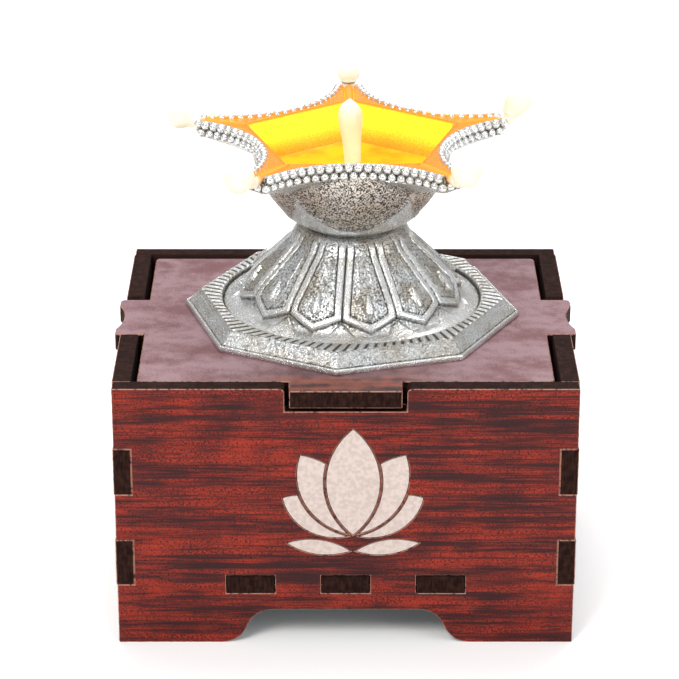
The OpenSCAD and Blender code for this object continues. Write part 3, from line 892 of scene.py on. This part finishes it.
def makeWick(k):
    turn = math.radians(bowl["spouts"][k] + bowl["turn"])
    tilt = math.radians(wicks["tilt"][k])
    head, reach = wicks["head"][k], wicks["reach"][k]
    flat = [(r, wicks["height"]) for r in np.linspace(wicks["tail"], wicks["bend"] - 0.4, 26)]
    steps = np.linspace(0, 1, 44)
    end = reach + head * 0.98
    rise = [(wicks["bend"] + s * end * math.cos(tilt * min(1, 0.5 + s * 2)),
             wicks["height"] + s * end * math.sin(tilt * min(1, 0.5 + s * 2))) for s in steps]
    radii = [wicks["tailR"] * min(1, 0.35 + i * 0.3) for i in range(len(flat))]
    for s in steps:
        at = s * end
        cone = 1.25 + (head - 1.25) * smooth(np.array(at), 0, reach * 0.92)
        cap = math.sqrt(max(0.0, 1 - max(0.0, (at - reach) / (head * 0.98)) ** 2))
        radii.append(float(cone) * max(cap, 0.06))
    line = flat + rise
    centres = [(r * math.cos(turn), r * math.sin(turn), z) for r, z in line]
    glow = [0.0] * (len(flat) - 4) + [0.15, 0.4, 0.7, 0.9] + [1.0] * len(rise)
    name = wicks["names"][k]
    piece = tube("wick." + name.replace("_", "."), centres, radii, glow, 11 + k)
    return dress(piece, cottonWick, name + "_wick", "cotton", "wick_" + name)


for k in range(5):
    makeWick(k)


def makeCentreWick():
    low, high = wicks["centre"]
    heights = np.linspace(low, high, 60)
    shape = wicks["centreShape"]
    radii = np.interp(heights, [z for z, _ in shape], [r for _, r in shape])
    for _ in range(14):                     # soften the bends of the shape
        radii[1:-1] = (radii[:-2] + 2 * radii[1:-1] + radii[2:]) / 4
    centres = [(0.25 * math.sin((z - low) * 0.22) - 0.2 * smooth(np.array(z), 36, 50), 0, z)
               for z in heights]
    piece = tube("wick.centre", centres, radii, [1.0] * len(heights), 31)
    return dress(piece, cottonWick, "centre_wick", "cotton", "wick_centre")


makeCentreWick()
print("wicks made")


def steelPaint():
    paint = Paint("zincSteel", Metallic=1.0)
    rings = paint.noise([1 / (0.3 * mm)] * 3, 2.0)
    return paint.give(Base_Color=paint.mix(rings, solid(0.42, 0.42, 0.44), solid(0.62, 0.62, 0.64)),
                      Roughness=0.28 + rings * 0.2)


zincSteel = steelPaint()
for node in ("bowl_screw", "screw_washer"):
    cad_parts[node].data.materials.clear()
    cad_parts[node].data.materials.append(zincSteel)


# ---- stage, light and camera ----

def floorPaint():
    return Paint("paleFloor", Roughness=0.9, IOR=1.2, Base_Color=solid(0.95, 0.945, 0.935),
                 Emission_Strength=0.06, Emission_Color=solid(0.9, 0.97, 1)).material


def makeFloor():
    bpy.ops.mesh.primitive_plane_add(size=6, location=(0, 0, 0))
    floor = bpy.context.object
    floor.name = "floor"
    floor.data.materials.append(floorPaint())


def makeLight(name, place, target, size, power, color):
    data = bpy.data.lights.new(name, "AREA")
    data.shape = "DISK"
    data.size = size
    data.energy = power
    data.color = color
    light = bpy.data.objects.new(name, data)
    bpy.context.collection.objects.link(light)
    light.location = place
    light.rotation_euler = (Vector(target) - Vector(place)).to_track_quat("-Z", "Y").to_euler()


def makeWorld():                            # pale sky, darker towards the horizon
    world = bpy.data.worlds.new("studio")
    bpy.context.scene.world = world
    world.use_nodes = True
    sky = Nodes(world.node_tree)
    way = sky.node("ShaderNodeTexCoord", {}, {}, "Generated")
    up = sky.node("ShaderNodeSeparateXYZ", {}, {0: way}, "Z")
    shade = sky.mix(up.ramp(-0.05, 0.75), solid(0.30, 0.295, 0.29), solid(0.85, 0.86, 0.88))
    world.node_tree.links.new(shade.socket, world.node_tree.nodes["Background"].inputs["Color"])
    world.node_tree.nodes["Background"].inputs["Strength"].default_value = 0.8


view = {
    "place": (-0.00134, -0.60593, 0.30803),
    "tilt": 67.33,                # degrees from straight down
    "lens": 153.3, "sensor": 36,
}


def makeCamera():
    data = bpy.data.cameras.new("view")
    camera = bpy.data.objects.new("view", data)
    bpy.context.collection.objects.link(camera)
    camera.location = view["place"]
    camera.rotation_euler = (math.radians(view["tilt"]), 0, 0)
    data.lens = view["lens"]
    data.sensor_width = view["sensor"]
    bpy.context.scene.camera = camera


deselectAll()
makeFloor()
makeWorld()
centre = (0, 0, 0.07)
makeLight("key", (-0.35, -0.65, 0.75), centre, 0.4, 6.0, (1, 0.985, 0.96))
makeLight("fill", (0.7, -0.5, 0.45), centre, 0.5, 2.2, (0.96, 0.98, 1))
makeLight("top", (0.05, 0.40, 0.9), centre, 0.6, 6.5, (1, 1, 1))
makeCamera()
bpy.context.scene.view_settings.view_transform = "Standard"
print("stage set")
